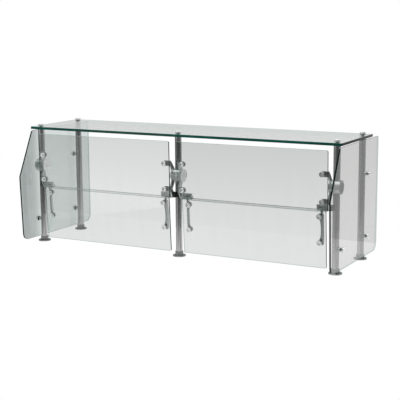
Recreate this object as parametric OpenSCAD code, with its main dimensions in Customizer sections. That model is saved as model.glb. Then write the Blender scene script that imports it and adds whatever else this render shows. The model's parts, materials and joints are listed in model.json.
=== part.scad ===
// Countertop sneeze guard, two bays long.
// Five posts carry a glass top shelf and two glass end panels.  Each bay has an upper front panel
// that tilts on hubs clamped to the front posts, and a lower front panel hinged below it.
// X runs along the counter, Y runs from the guest side to the server side, Z is up from the counter.

/* [Bays] */
// Distance between neighbouring front posts, centre to centre
post_pitch = 635; // [450:1:900]
// Distance from the front row of posts to the rear row
row_gap = 260; // [180:1:420]

/* [Posts] */
// Outer diameter of the post tube
post_d = 25.4; // [22:0.1:32]
// Wall of the post tube
post_wall = 1.6; // [1.2:0.1:3]

/* [Feet] */
// Width of the foot flange round the collar
flange_reach = 9.5; // [8:0.5:25]
// Thickness of the foot flange
flange_t = 4.5; // [3:0.1:8]
// Wall of the collar that holds the post
collar_wall = 2.8; // [2:0.1:5]
// Height of the collar above the flange
collar_h = 15; // [10:0.5:40]
// Diameter of a counter screw hole
screw_hole_d = 4.5; // [3:0.1:5]
// Diameter of a countersink at the flange's top
screw_sink_d = 6.5; // [5.5:0.1:8]
// Depth of a countersink
screw_sink_t = 1.4; // [0.5:0.1:2]
// Diameter of the set screw that locks the post in the foot
foot_set_d = 5; // [3:0.5:6]

/* [Top glass] */
// Height of the underside of the top glass
top_under = 461; // [440:1:650]
// Thickness of the top glass
top_t = 10; // [6:0.5:15]
// Reach of the top glass past the end posts
top_reach_x = 29.5; // [20:0.5:60]
// Reach of the top glass past the front and rear rows
top_reach_y = 33; // [20:0.5:60]
// Corner radius of the top glass
top_corner_r = 6; // [2:0.5:15]
// Thickness of the gasket under the top glass
top_seat_t = 1.5; // [0.5:0.1:3]
// Thickness of the gasket between the top glass and a cap
cap_seat_t = 1; // [0.5:0.1:2]
// Diameter of a cap
cap_d = 22; // [18:0.5:30]
// Height of a cap
cap_h = 8; // [5:0.5:15]
// Diameter of a cap's threaded stud
cap_stud_d = 8; // [6:0.5:10]
// Depth of a cap's stud below the post's top
cap_stud_depth = 15; // [8:0.5:20]
// Wall of the sleeve that lines a hole in the top glass
sleeve_wall = 2; // [1:0.1:3]
// Height of the threaded plug in the top of a post
plug_h = 24; // [21:0.5:40]

/* [End panels] */
// Thickness of an end panel
side_t = 6; // [4:0.5:10]
// Gap from a post's surface to the end panel
side_gap = 7; // [5:0.1:15]
// Height of the end panel's lower edge
side_bottom = 18; // [5:0.5:40]
// Gap from the end panel's upper edge to the top glass
side_top_gap = 5; // [2:0.5:20]
// Reach of the end panel in front of the front row, at its lower corner
side_front_low = 109; // [80:1:150]
// Reach of the end panel in front of the front row, at its knee
side_knee = 121; // [90:1:170]
// Depth of the knee below the top glass
side_knee_drop = 183; // [150:1:220]
// Reach of the end panel in front of the front row, at its upper corner
side_front_top = 33; // [10:1:70]
// Reach of the end panel behind the rear row
side_rear = 106; // [40:1:160]
// Height of the lower row of standoffs
standoff_low = 90; // [60:1:140]
// Depth of the upper rear standoff below the top glass
standoff_drop = 135; // [60:1:200]
// Diameter of a standoff's spacer
spacer_d = 14; // [12:0.5:20]
// Diameter of a standoff's outer cap
side_cap_d = 20; // [16:0.5:30]
// Thickness of a standoff's outer cap
side_cap_t = 6.5; // [4:0.1:10]
// Diameter of a standoff's stud
side_stud_d = 8; // [6:0.5:9]
// Depth of the threaded insert that holds a standoff in its post
insert_depth = 8; // [5:0.5:9]
// Thickness of the gaskets on each side of an end panel
side_seat_t = 0.8; // [0.4:0.1:2]

/* [Hubs] */
// Depth of the hub axis below the top glass
hub_drop = 149; // [145:1:170]
// Diameter of a hub
hub_d = 50; // [42:0.5:60]
// Wall of a hub beside its post
hub_wall = 2; // [1.5:0.1:4]
// Diameter of the boss that a spider turns on
boss_d = 30; // [26:0.5:34]
// Thickness of the friction washer beside a spider
washer_t = 0.5; // [0.3:0.1:1]
// Thickness of a spider plate
plate_t = 4.2; // [3:0.1:6]
// Thickness of a hub's end disc
disc_t = 4.4; // [3:0.1:6]
// Thickness of the pad between an end hub and its end panel
hub_pad_t = 1; // [0.5:0.1:2]
// Diameter of the hub's set screw and of the end disc's screw
hub_screw_d = 6; // [4:0.5:8]

/* [Upper front panels] */
// Thickness of the front panels
glass_t = 6; // [4:0.5:8]
// Gap from a post's centre to the end of an upper panel
upper_edge = 16.5; // [15:0.5:25]
// Height of an upper panel above the hub axis
upper_rise = 134; // [100:1:138]
// Depth of an upper panel below the hub axis
upper_fall = 84; // [72:1:100]
// Distance from the hub axis forward to an upper panel's back
upper_set = 36.7; // [34:0.1:42]
// Lean of the upper panels at rest, upper edge towards the guest
upper_lean = 1.2; // [0:0.1:3]
// Height of the upper buttons above the hub axis
button_up = 49; // [45:1:60]
// Depth of the lower buttons of an upper panel below the hub axis
button_down = 49; // [38:1:54]
// Distance from a post's centre to the buttons of an upper panel
upper_button_x = 38; // [34:0.5:60]
// Diameter of a button and of the seat behind it
button_d = 20; // [16:0.5:24]
// Thickness of a button's head
button_t = 4.5; // [3:0.1:8]
// Diameter of a button's stud
button_stud_d = 6; // [4:0.5:8]
// Thickness of the gaskets on each side of a front panel
button_seat_t = 0.8; // [0.4:0.1:1.5]
// Thickness of a spider's lugs behind the panel
lug_t = 8; // [6:0.5:9]
// Corner radius of the front panels
pane_corner_r = 6; // [2:0.5:15]
// Radius of a spider's arms at the hub
arm_root_r = 15; // [10:0.5:20]
// Radius of a spider's arms at the lugs
arm_end_r = 6.5; // [4:0.5:8]

/* [Hinges] */
// Depth of the hinge axis below the hub axis
hinge_drop = 79; // [70:1:90]
// Distance from the hub axis forward to the hinge axis
hinge_set = 14.6; // [14:0.1:16]
// Diameter of the hinge knuckles
knuckle_d = 14; // [12:0.1:17]
// Diameter of a hinge pin
hinge_pin_d = 5; // [4:0.5:7]
// Radial running clearance of pins and bosses
run_gap = 0.05; // [0.02:0.01:0.1]
// Side clearance between pieces that turn on each other
side_play = 0.1; // [0.1:0.1:0.5]
// Distance from a post's centre to the near end of an arm's knuckle
arm_near = 44; // [40:0.5:50]
// Width of an arm's knuckle
arm_knuckle_w = 13; // [8:0.5:14]
// Width of a hinge bar's knuckle past the arm
outer_knuckle_w = 8.9; // [5:0.1:20]
// Height of the bridge that ties the hinge knuckles together
bridge_h = 8.5; // [5:0.5:12]
// Height of a rubber stop bumper
bumper_h = 22; // [16:0.5:28]
// Depth of a rubber stop bumper
bumper_t = 7.2; // [5:0.1:9]
// Gap from a post's centre to the near side of a stop bumper
bumper_near = 4; // [2:0.5:8]
// Thickness of the metal stub inside a stop bumper
stub_t = 3; // [2:0.1:4]
// Gap between a stop bumper and its post at rest
bumper_gap = 0.5; // [0.4:0.1:1]

/* [Lower front panels] */
// Gap from a hub's end disc to the end of a lower panel
lower_side_gap = 4.5; // [2:0.5:10]
// Height of a lower panel's lower edge above the counter
lower_bottom = 19; // [8:0.5:60]
// Height of a lower panel's upper edge above the hinge axis
lower_rise = 1; // [0:0.5:3]
// Gap between the hinge knuckles and the back of a lower panel
lower_gap = 0.6; // [0.5:0.1:2]
// Lean of the lower panels at rest, lower edge towards the server
lower_lean = 3.6; // [0:0.1:8]
// Depth of the upper buttons of a lower panel below the hinge axis
lower_button_up = 26; // [22:1:40]
// Depth of the lower buttons of a lower panel below the hinge axis
lower_button_down = 122; // [100:1:150]
// Width of a lower arm at its waist
arm_waist = 7; // [6:0.5:12]
// Thickness of a lower arm's pads and its upper end
arm_t = 8; // [6:0.5:9]
// Thickness of a lower arm's web between its pads
arm_web_t = 4; // [3:0.5:6]
// Width of the rib along a lower arm's straight edge
arm_rib_w = 3.5; // [2.5:0.1:6]
// Depth of that rib behind the panel
arm_rib_d = 15; // [10:0.5:18]

/* [Hidden] */
$fn = 96;

steel = [0.66, 0.67, 0.68];
glass = [0.72, 0.86, 0.83, 0.45];
rubber = [0.08, 0.08, 0.09];
clear_plastic = [0.85, 0.87, 0.88, 0.7];

// End panel outline in Y and Z, with Y counted from the front row of posts.
side_top = top_under - side_top_gap;
// Corner radii from the lower rear corner round to the lower front one.
side_corner_r = [30, 8, 14, 25, 28];
side_shape = rounded(
    [
        [row_gap + side_rear, side_bottom],
        [row_gap + side_rear, side_top],
        [-side_front_top, side_top],
        [-side_knee, top_under - side_knee_drop],
        [-side_front_low, side_bottom]
    ],
    side_corner_r
);
side_reach = -min([for (p = side_shape) p.x]);
// The origin is under the middle of the whole guard.
front_y = (side_reach - row_gap - side_rear) / 2;
rear_y = front_y + row_gap;
post_r = post_d / 2;
collar_r = post_r + collar_wall;
hub_half = post_r + hub_wall;
post_top = top_under - top_seat_t;
front_x = [-post_pitch, 0, post_pitch];
rear_x = [-post_pitch, post_pitch];
post_places = concat([for (x = front_x) [x, front_y]], [for (x = rear_x) [x, rear_y]]);
// Each end panel hangs on three standoffs: the sign of X, then Y and Z of each one.
high_standoff = top_under - standoff_drop;
standoff_places = [
    for (s = [-1, 1]) each [
        [s, front_y, standoff_low],
        [s, rear_y, standoff_low],
        [s, rear_y, high_standoff]
    ]
];
// Clearance round a tube, stud or screw that doesn't turn.
slip = 0.05;
// Room round a stud in a front panel and in an end panel.
glass_hole_play = 2;
side_hole_play = 1;
// Metal left at the blind end of a tapped hole.
blind_wall = 1.5;
foot_bevel = 0.8;
cap_bevel = 1;
disc_bevel = 1.2;
hub_z = top_under - hub_drop;
side_in = post_r + side_gap;
side_out = side_in + side_t;
plate_near = hub_half + washer_t + side_play;
plate_far = plate_near + plate_t;
disc_near = plate_far + side_play;
disc_far = disc_near + disc_t;
glass_hole_r = button_stud_d / 2 + glass_hole_play;
// Places around the hub axis, as [Y, Z] in the upright frame of the upper panel.
seat_y = -upper_set + button_seat_t;
// The spider's arms end this far behind the faces that carry the panel.
arm_inset = 0.4;
arm_reach = upper_set - button_seat_t - arm_inset - arm_end_r;
arm_up = [-arm_reach, button_up];
arm_down = [-arm_reach, -button_down];
hinge_at = [-hinge_set, -hinge_drop];
knuckle_r = knuckle_d / 2;
bridge_gap = 0.4;
bridge_low = knuckle_r + bridge_gap;
bridge_top = bridge_low + bridge_h;
// The hinge axis once the upper panel leans at rest.
hinge_y = hinge_at.x * cos(upper_lean) - hinge_at.y * sin(upper_lean);
hinge_z = hinge_at.x * sin(upper_lean) + hinge_at.y * cos(upper_lean);
lower_back = -knuckle_r - lower_gap;
lower_fall = (hub_z + hinge_z - lower_bottom) / cos(lower_lean);
arm_front = lower_back + button_seat_t;
arm_far = arm_near + arm_knuckle_w;
bar_end = arm_far + side_play + outer_knuckle_w;
// An arm's straight edge lines up with the edge of its buttons.
lower_button_x = arm_near + button_d / 2;
lower_edge = disc_far + lower_side_gap;

function unit(v) = v / norm(v);
function turn(a, b) = (b - a + 900) % 360 - 180;
// Points of an arc of radius r that rounds the corner q between p and s.
function corner(p, q, s, r, n = 8) =
    let (
        u = unit(p - q),
        v = unit(s - q),
        half = acos(u * v) / 2,
        c = q + unit(u + v) * r / sin(half),
        from = q + u * r / tan(half) - c,
        to = q + v * r / tan(half) - c,
        a = atan2(from.y, from.x),
        d = turn(a, atan2(to.y, to.x))
    )
    [for (i = [0:n]) c + r * [cos(a + d * i / n), sin(a + d * i / n)]];
// Closed outline with every corner rounded by its own radius.
function rounded(pts, radii) =
    let (n = len(pts))
    [for (i = [0:n - 1]) each corner(pts[(i + n - 1) % n], pts[i], pts[(i + 1) % n], radii[i])];
// Rectangle with rounded corners: r is one radius, or a list of four from the lower left corner round.
function oblong(x0, z0, x1, z1, r) =
    rounded([[x0, z0], [x1, z0], [x1, z1], [x0, z1]], is_list(r) ? r : [r, r, r, r]);

// Rods and extrusions along X and along Y.
module rod_x(x0, x1, r) {
    translate([x0, 0, 0]) rotate([0, 90, 0]) cylinder(h = x1 - x0, r = r);
}
module rod_y(y0, y1, r) {
    translate([0, y1, 0]) rotate([90, 0, 0]) cylinder(h = y1 - y0, r = r);
}
module sheet_x(x0, x1) {
    translate([x0, 0, 0]) rotate([90, 0, 90]) linear_extrude(height = x1 - x0) children();
}
module sheet_y(y0, y1) {
    translate([0, y1, 0]) rotate([90, 0, 0]) linear_extrude(height = y1 - y0) children();
}
module ring(h, r_out, r_in) {
    difference() {
        cylinder(h = h, r = r_out);
        translate([0, 0, -1]) cylinder(h = h + 2, r = r_in);
    }
}
// Outline of a bar with round ends of radius r at p and radius s at q.
function link(p, r, q, s, n = 16) =
    let (
        t = atan2(q.y - p.y, q.x - p.x),
        a = acos((r - s) / norm(q - p))
    )
    concat(
        [for (i = [0:n]) let (k = t - a + 2 * a * i / n) q + s * [cos(k), sin(k)]],
        [for (i = [0:n]) let (k = t + a + (360 - 2 * a) * i / n) p + r * [cos(k), sin(k)]]
    );
// A turned disc from z = 0 up, with a chamfered upper edge.
module turned_disc(r, h, bevel) {
    rotate_extrude() polygon([[0, 0], [r, 0], [r, h - bevel], [r - bevel, h], [0, h]]);
}

// Bay end: X runs from the post into the bay, the origin is on the hub axis.
module bay_end(side, inner) {
    x = inner ? 0 : side * post_pitch;
    into = inner ? side : -side;
    translate([x, front_y, hub_z]) mirror([into < 0 ? 1 : 0, 0, 0]) children();
}
module upper_frame(side, inner) {
    bay_end(side, inner) rotate([upper_lean, 0, 0]) children();
}
module lower_frame(side, inner) {
    bay_end(side, inner) translate([0, hinge_y, hinge_z]) rotate([lower_lean, 0, 0]) children();
}

// ---- posts and feet ----
// standoffs: heights of the insert holes, out: sign of X on which they are.
module post(at, standoffs = [], out = 1) {
    color(steel) translate([at.x, at.y, 0]) difference() {
        translate([0, 0, flange_t]) ring(post_top - flange_t, post_r, post_r - post_wall);
        for (z = standoffs) translate([0, 0, z]) mirror([out < 0 ? 1 : 0, 0, 0])
            rod_x(0, post_r + 1, insert_r);
    }
}
insert_wall = 1.5;
insert_r = side_stud_d / 2 + insert_wall;
insert_near = post_r - insert_depth;
insert_far = sqrt(pow(post_r, 2) - pow(insert_r, 2)) - slip;
flange_r = collar_r + flange_reach;
// The counter screws are midway between the collar and the flange's edge.
screw_ring_r = (collar_r + flange_r) / 2;
module foot(at) {
    color(steel) translate([at.x, at.y, 0]) difference() {
        union() {
            turned_disc(flange_r, flange_t, foot_bevel);
            turned_disc(collar_r, flange_t + collar_h, foot_bevel);
        }
        translate([0, 0, flange_t]) cylinder(h = collar_h + 1, r = post_r + slip);
        for (i = [0:3]) rotate([0, 0, 45 + 90 * i]) translate([screw_ring_r, 0, 0]) {
            translate([0, 0, -1]) cylinder(h = flange_t + 2, r = screw_hole_d / 2);
            translate([0, 0, flange_t - screw_sink_t])
                cylinder(h = screw_sink_t + 0.01, r1 = screw_hole_d / 2, r2 = screw_sink_d / 2);
        }
        translate([0, 0, flange_t + collar_h / 2]) rod_y(0, collar_r + 1, foot_set_d / 2);
    }
}
foot_set_sunk = 0.3;
module foot_set_screws() {
    color(steel) for (p = post_places) translate([p.x, p.y, flange_t + collar_h / 2])
        rod_y(post_r + slip, collar_r - foot_set_sunk, foot_set_d / 2);
}

// ---- top glass and its fixings ----
sleeve_r = cap_stud_d / 2 + sleeve_wall;
module post_plugs() {
    color(steel) for (p = post_places) translate([p.x, p.y, post_top - plug_h])
        ring(plug_h, post_r - post_wall - slip, cap_stud_d / 2 + slip);
}
module top_glass() {
    x = post_pitch + top_reach_x;
    color(glass) difference() {
        translate([0, 0, top_under]) linear_extrude(height = top_t)
            polygon(oblong(-x, front_y - top_reach_y, x, rear_y + top_reach_y, top_corner_r));
        for (p = post_places) translate([p.x, p.y, top_under - 1]) cylinder(h = top_t + 2, r = sleeve_r);
    }
}
module top_glass_seats() {
    color(rubber) for (p = post_places) translate([p.x, p.y, post_top])
        ring(top_seat_t, post_r, cap_stud_d / 2 + slip);
}
module top_glass_sleeves() {
    color(clear_plastic) for (p = post_places) translate([p.x, p.y, top_under])
        ring(top_t, sleeve_r - slip, cap_stud_d / 2 + slip);
}
module cap_seats() {
    color(rubber) for (p = post_places) translate([p.x, p.y, top_under + top_t])
        ring(cap_seat_t, cap_d / 2, cap_stud_d / 2 + slip);
}
module top_caps() {
    low = top_under + top_t + cap_seat_t;
    color(steel) for (p = post_places) translate([p.x, p.y, low]) {
        turned_disc(cap_d / 2, cap_h, cap_bevel);
        translate([0, 0, post_top - cap_stud_depth - low])
            cylinder(h = low - post_top + cap_stud_depth + 0.5, r = cap_stud_d / 2);
    }
}

// ---- end panels and their standoffs ----
module at_standoffs() {
    for (p = standoff_places) translate([p.x * post_pitch, p.y, p.z])
        mirror([p.x < 0 ? 1 : 0, 0, 0]) children();
}
module end_panel(side) {
    color(glass) mirror([side < 0 ? 1 : 0, 0, 0]) difference() {
        translate([0, front_y, 0]) sheet_x(post_pitch + side_in, post_pitch + side_out)
            polygon(side_shape);
        for (p = standoff_places) if (p.x > 0) translate([post_pitch, p.y, p.z])
            rod_x(side_in - 1, side_out + 1, side_stud_d / 2 + side_hole_play);
    }
}
module standoff_inserts() {
    color(steel) at_standoffs() difference() {
        rod_x(insert_near, insert_far, insert_r - slip);
        rod_x(insert_near - 1, post_r, side_stud_d / 2 + slip);
    }
}
module standoff_spacers() {
    color(steel) at_standoffs() difference() {
        rod_x(0, side_in - side_seat_t, spacer_d / 2);
        translate([0, 0, -spacer_d]) cylinder(h = 2 * spacer_d, r = post_r + slip);
        rod_x(0, side_in, side_stud_d / 2 + slip);
    }
}
module standoff_gaskets() {
    color(rubber) at_standoffs() {
        difference() {
            rod_x(side_in - side_seat_t, side_in, spacer_d / 2);
            rod_x(side_in - 2, side_in + 1, side_stud_d / 2 + slip);
        }
        difference() {
            rod_x(side_out, side_out + side_seat_t, side_cap_d / 2);
            rod_x(side_out - 1, side_out + 2, side_stud_d / 2 + slip);
        }
    }
}
side_cap_cover = 2;
stud_far = side_out + side_seat_t + side_cap_t - side_cap_cover;
module standoff_studs() {
    color(steel) at_standoffs() rod_x(insert_near, stud_far, side_stud_d / 2);
}
module standoff_caps() {
    near = side_out + side_seat_t;
    color(steel) at_standoffs() difference() {
        translate([near, 0, 0]) rotate([0, 90, 0]) turned_disc(side_cap_d / 2, side_cap_t, cap_bevel);
        rod_x(near - 1, stud_far, side_stud_d / 2);
    }
}

// ---- hubs ----
// in_left and in_right: whether a spider turns on that end of the hub.
module hub(x, in_left, in_right) {
    outer = side_in - hub_pad_t;
    color(steel) translate([x, front_y, hub_z]) difference() {
        union() {
            rod_x(in_left ? -hub_half : -outer, in_right ? hub_half : outer, hub_d / 2);
            if (in_left) rod_x(-disc_near, 0, boss_d / 2);
            if (in_right) rod_x(0, disc_near, boss_d / 2);
        }
        translate([0, 0, -hub_d]) cylinder(h = 2 * hub_d, r = post_r + slip);
        rod_y(0, hub_d, hub_screw_d / 2);
        if (in_left) rod_x(-disc_near - 1, -post_r - 1, hub_screw_d / 2);
        if (in_right) rod_x(post_r + 1, disc_near + 1, hub_screw_d / 2);
    }
}
hub_set_sunk = 1.5;
module hub_set_screws() {
    color(steel) for (x = front_x) translate([x, front_y, hub_z])
        rod_y(post_r + slip, hub_d / 2 - hub_set_sunk, hub_screw_d / 2);
}
// Children are drawn at each of the four places where a spider turns on a hub.
module at_spiders() {
    for (side = [-1, 1]) for (inner = [true, false]) bay_end(side, inner) children();
}
washer_inset = 1;
module hub_friction_washers() {
    color(rubber) at_spiders() difference() {
        rod_x(hub_half, hub_half + washer_t, hub_d / 2 - washer_inset);
        rod_x(hub_half - 1, hub_half + 2, boss_d / 2 + slip);
    }
}
disc_rim = 5;
disc_face_r = hub_d / 2 - disc_rim;
disc_recess = 0.8;
head_r = hub_screw_d - 0.5;
head_t = 1.8;
head_near = disc_far - disc_recess - head_t;
head_far = disc_far - disc_recess;
head_socket_t = 1.4;
disc_screw_gap = 1.2;
module hub_end_discs() {
    color(steel) at_spiders() difference() {
        translate([disc_near, 0, 0]) rotate([0, 90, 0]) turned_disc(hub_d / 2, disc_t, disc_bevel);
        rod_x(head_far, disc_far + 1, disc_face_r);
        rod_x(head_near, disc_far + 1, head_r);
        rod_x(disc_near - 1, disc_far + 1, hub_screw_d / 2);
    }
}
module hub_disc_screws() {
    color(steel) at_spiders() difference() {
        union() {
            rod_x(post_r + disc_screw_gap, head_far, hub_screw_d / 2);
            rod_x(head_near, head_far, head_r);
        }
        translate([head_far - head_socket_t, 0, 0]) rotate([0, 90, 0])
            cylinder(h = 2, r = hub_screw_d / 3, $fn = 6);
    }
}
pad_inset = 6;
module hub_panel_pads() {
    color(rubber) for (s = [-1, 1]) translate([s * post_pitch, front_y, hub_z])
        mirror([s < 0 ? 1 : 0, 0, 0]) rod_x(side_in - hub_pad_t, side_in, hub_d / 2 - pad_inset);
}

// ---- upper front panels ----
// Button places as [X from the post, Y of the back seat, Z], in the upright frame.
upper_buttons = [[upper_button_x, seat_y, button_up], [upper_button_x, seat_y, -button_down]];
lower_buttons = [
    [lower_button_x, arm_front, -lower_button_up],
    [lower_button_x, arm_front, -lower_button_down]
];
// A pane that runs from one bay end to the other, with a hole at every button.
module pane(edge, low, high, back, places) {
    color(glass) difference() {
        sheet_y(back - glass_t, back) polygon(oblong(edge, low, post_pitch - edge, high, pane_corner_r));
        for (p = places) for (x = [p.x, post_pitch - p.x]) translate([x, 0, p.z])
            rod_y(back - glass_t - 1, back + 1, glass_hole_r);
    }
}
module upper_glass(side) {
    upper_frame(side, true) pane(upper_edge, -upper_fall, upper_rise, -upper_set, upper_buttons);
}
// Cast plate that turns on a hub, with a lug behind each button and a stub for the stop bumper.
bumper_back = hinge_at.x - (post_r + bumper_gap + hinge_y);
bumper_mid = -hinge_drop + knuckle_r;
// Rubber over the end of the stub, and above and below it.
stub_end_cover = 2;
stub_side_cover = 4;
stub_near = bumper_near + stub_end_cover;
stub_h = bumper_h - 2 * stub_side_cover;
hinge_end_r = knuckle_r + 2.5;
// The hinge end of a spider plate is centred this far above the hinge axis.
hinge_end_up = 4;
// Arms of a spider plate: up to one button, down to the other and on to the hinge bar.
plate_shapes = [
    link([0, 0], arm_root_r, arm_up, arm_end_r),
    link([0, 0], arm_root_r, arm_down, arm_end_r),
    link(arm_down, arm_end_r, hinge_at + [0, hinge_end_up], hinge_end_r)
];
module spider(side, inner) {
    color(steel) upper_frame(side, inner) difference() {
        union() {
            rod_x(plate_near, plate_far, hub_d / 2);
            for (shape = plate_shapes) sheet_x(plate_near, plate_far) polygon(shape);
            for (p = upper_buttons) translate([0, 0, p.z]) {
                translate([p.x, 0, 0]) rod_y(p.y, p.y + lug_t, button_d / 2);
                translate([plate_near, p.y, -button_d / 2])
                    cube([p.x - plate_near, lug_t, button_d]);
            }
            translate([stub_near, bumper_back - (bumper_t + stub_t) / 2, bumper_mid - stub_h / 2])
                cube([plate_near - stub_near + 0.1, stub_t, stub_h]);
        }
        rod_x(plate_near - 1, plate_far + 1, boss_d / 2 + run_gap);
        translate([0, hinge_at.x, hinge_at.y]) rod_x(plate_near - 1, plate_far + 1, hinge_pin_d / 2);
        for (p = upper_buttons) translate([p.x, 0, p.z])
            rod_y(p.y - 1, p.y + lug_t - blind_wall, button_stud_d / 2);
    }
}
// Knuckles on each side of the arm's knuckle, tied by a bridge above.
module hinge_bars(side) {
    spans = [[plate_far, arm_near - side_play], [arm_far + side_play, bar_end]];
    color(steel) for (inner = [true, false]) upper_frame(side, inner)
        translate([0, hinge_at.x, hinge_at.y]) difference() {
            union() {
                for (s = spans) {
                    rod_x(s[0], s[1], knuckle_r);
                    translate([s[0], -knuckle_r, 0]) cube([s[1] - s[0], knuckle_r, bridge_top]);
                }
                translate([plate_far, -knuckle_r, bridge_low])
                    cube([bar_end - plate_far, knuckle_r, bridge_h]);
            }
            rod_x(plate_far - 1, bar_end + 1, hinge_pin_d / 2);
        }
}
module hinge_pins(side) {
    color(steel) for (inner = [true, false]) upper_frame(side, inner)
        translate([0, hinge_at.x, hinge_at.y]) rod_x(plate_near, bar_end, hinge_pin_d / 2);
}
module stop_bumpers(side) {
    color(rubber) for (inner = [true, false]) upper_frame(side, inner) difference() {
        translate([bumper_near, bumper_back - bumper_t, bumper_mid - bumper_h / 2])
            cube([plate_near - bumper_near, bumper_t, bumper_h]);
        translate([stub_near, bumper_back - (bumper_t + stub_t) / 2, bumper_mid - stub_h / 2])
            cube([plate_near, stub_t, stub_h]);
    }
}
// Gaskets and buttons for places given as [X, Y of the back seat, Z].
module gaskets(places) {
    color(rubber) for (p = places) translate([p.x, p.y, p.z])
        for (front = [-button_seat_t, -2 * button_seat_t - glass_t]) difference() {
            rod_y(front, front + button_seat_t, button_d / 2);
            rod_y(front - 1, front + button_seat_t + 1, button_stud_d / 2 + slip);
        }
}
button_socket_t = 1.6;
module buttons(places, grip) {
    head = -2 * button_seat_t - glass_t;
    color(steel) for (p = places) translate([p.x, p.y, p.z]) difference() {
        union() {
            translate([0, head, 0]) rotate([90, 0, 0]) turned_disc(button_d / 2, button_t, cap_bevel);
            rod_y(head - 0.5, grip, button_stud_d / 2);
        }
        translate([0, head - button_t + button_socket_t, 0]) rotate([90, 0, 0])
            cylinder(h = 3, r = button_stud_d / 3, $fn = 6);
    }
}
module upper_gaskets(side) {
    for (inner = [true, false]) upper_frame(side, inner) gaskets(upper_buttons);
}
module upper_buttons_set(side) {
    for (inner = [true, false]) upper_frame(side, inner) buttons(upper_buttons, lug_t - blind_wall);
}

// ---- lower front panels ----
module lower_glass(side) {
    lower_frame(side, true) pane(lower_edge, -lower_fall, lower_rise, lower_back, lower_buttons);
}
// Arm outline in X and Z: straight beside the post, waisted on the bay side.
arm_pad_far = lower_button_x + button_d / 2;
function arm_outline(n = 24) = concat(
    [[arm_near, -lower_button_up + button_d / 2], [arm_near, -lower_button_down - button_d / 2]],
    [
        for (i = [0:n])
            let (s = i / n, bow = pow(abs(2 * s - 1), 3))
            [
                arm_near + arm_waist + (lower_button_x - arm_near - arm_waist + button_d / 2 - 1) * bow,
                -lower_button_down + (lower_button_down - lower_button_up) * s
            ]
    ]
);
// Rib outline in Y and Z, from the lower pad up to the upper one.
arm_rib_corner_r = 6;
arm_rib = oblong(
    arm_front, -lower_button_down - button_d / 2 + 2,
    arm_front + arm_rib_d, -lower_button_up + button_d / 2 - 2,
    [1, arm_rib_corner_r, arm_rib_corner_r, 1]
);
module arm(side, inner) {
    color(steel) lower_frame(side, inner) difference() {
        union() {
            rod_x(arm_near, arm_far, knuckle_r);
            translate([arm_near, arm_front, -lower_button_up])
                cube([arm_waist, arm_t, lower_button_up]);
            sheet_x(arm_near, arm_near + arm_rib_w) polygon(arm_rib);
            sheet_y(arm_front, arm_front + arm_web_t) intersection() {
                polygon(arm_outline());
                translate([arm_near, -lower_button_down - button_d])
                    square([arm_pad_far - arm_near, lower_button_down + button_d]);
            }
            for (p = lower_buttons) translate([p.x, 0, p.z])
                rod_y(arm_front, arm_front + arm_t, button_d / 2);
        }
        rod_x(arm_near - 1, arm_far + 1, hinge_pin_d / 2 + run_gap);
        for (p = lower_buttons) translate([p.x, 0, p.z])
            rod_y(p.y - 1, p.y + arm_t - blind_wall, button_stud_d / 2);
    }
}
module lower_gaskets(side) {
    for (inner = [true, false]) lower_frame(side, inner) gaskets(lower_buttons);
}
module lower_buttons_set(side) {
    for (inner = [true, false]) lower_frame(side, inner) buttons(lower_buttons, arm_t - blind_wall);
}

post([-post_pitch, front_y], [standoff_low], -1);  // post_front_left
post([0, front_y]);  // post_front_middle
post([post_pitch, front_y], [standoff_low], 1);  // post_front_right
post([-post_pitch, rear_y], [standoff_low, high_standoff], -1);  // post_rear_left
post([post_pitch, rear_y], [standoff_low, high_standoff], 1);  // post_rear_right
foot([-post_pitch, front_y]);  // foot_front_left
foot([0, front_y]);  // foot_front_middle
foot([post_pitch, front_y]);  // foot_front_right
foot([-post_pitch, rear_y]);  // foot_rear_left
foot([post_pitch, rear_y]);  // foot_rear_right
foot_set_screws();
post_plugs();
top_glass();
top_glass_seats();
top_glass_sleeves();
cap_seats();
top_caps();
end_panel(-1);  // end_panel_left
end_panel(1);  // end_panel_right
standoff_inserts();
standoff_spacers();
standoff_gaskets();
standoff_studs();
standoff_caps();
hub(-post_pitch, false, true);  // hub_left
hub(0, true, true);  // hub_middle
hub(post_pitch, true, false);  // hub_right
hub_set_screws();
hub_friction_washers();
hub_end_discs();
hub_disc_screws();
hub_panel_pads();
upper_glass(-1);  // left_upper_glass
spider(-1, false);  // left_spider_outer
spider(-1, true);  // left_spider_inner
hinge_bars(-1);  // left_hinge_bars
hinge_pins(-1);  // left_hinge_pins
stop_bumpers(-1);  // left_stop_bumpers
upper_gaskets(-1);  // left_upper_gaskets
upper_buttons_set(-1);  // left_upper_buttons
lower_glass(-1);  // left_lower_glass
arm(-1, false);  // left_arm_outer
arm(-1, true);  // left_arm_inner
lower_gaskets(-1);  // left_lower_gaskets
lower_buttons_set(-1);  // left_lower_buttons
upper_glass(1);  // right_upper_glass
spider(1, false);  // right_spider_outer
spider(1, true);  // right_spider_inner
hinge_bars(1);  // right_hinge_bars
hinge_pins(1);  // right_hinge_pins
stop_bumpers(1);  // right_stop_bumpers
upper_gaskets(1);  // right_upper_gaskets
upper_buttons_set(1);  // right_upper_buttons
lower_glass(1);  // right_lower_glass
arm(1, false);  // right_arm_outer
arm(1, true);  // right_arm_inner
lower_gaskets(1);  // right_lower_gaskets
lower_buttons_set(1);  // right_lower_buttons
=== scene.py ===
# Countertop sneeze guard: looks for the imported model. Metres and degrees; profiles of turned pieces in mm.
import json
import math

import bmesh
import bpy
import numpy as np
from mathutils import Matrix, Vector
from mathutils.geometry import tessellate_polygon


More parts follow.
